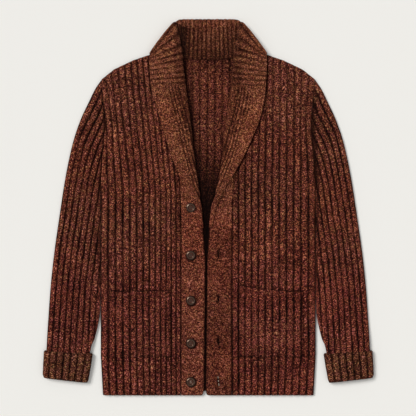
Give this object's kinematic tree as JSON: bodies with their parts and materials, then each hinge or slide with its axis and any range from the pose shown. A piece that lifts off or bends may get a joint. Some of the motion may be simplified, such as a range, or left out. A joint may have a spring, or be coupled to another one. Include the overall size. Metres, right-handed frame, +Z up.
{
  "type": "shawl-collar cardigan",
  "caption": "Heavy ribbed knit cardigan with a shawl collar, buttoned front bands, patch pockets and turned-back cuffs, lying flat, front up.",
  "frame": {"origin": "middle of the garment's outline on the surface it lies on", "axes": "+Y from hem to collar, +Z up out of the front, +X towards the wearer's left"},
  "size_m": [0.696, 0.7908, 0.0168],
  "materials": {
    "ribbed_wool": "dark reddish-brown marled wool, chunky vertical ribs, soft nap",
    "fine_wool": "the same marled wool knitted finer and smoother, a little lighter",
    "horn_button": "dark brown horn look, polished rim, dished matt middle"
  },
  "bodies": {
    "root": {"back": "ribbed_wool", "hem_band_back": "ribbed_wool", "front_right": "ribbed_wool", "front_left": "ribbed_wool", "hem_band_front_right": "ribbed_wool", "hem_band_front_left": "ribbed_wool", "pocket_right": "ribbed_wool", "pocket_left": "ribbed_wool", "sleeve_right": "ribbed_wool", "sleeve_left": "ribbed_wool", "cuff_right": "ribbed_wool", "cuff_left": "ribbed_wool", "button_band": "fine_wool", "buttonhole_band": "fine_wool", "collar": "fine_wool", "button_1": "horn_button", "button_2": "horn_button", "button_3": "horn_button", "button_4": "horn_button", "button_5": "horn_button"}
  },
  "joints": []
}
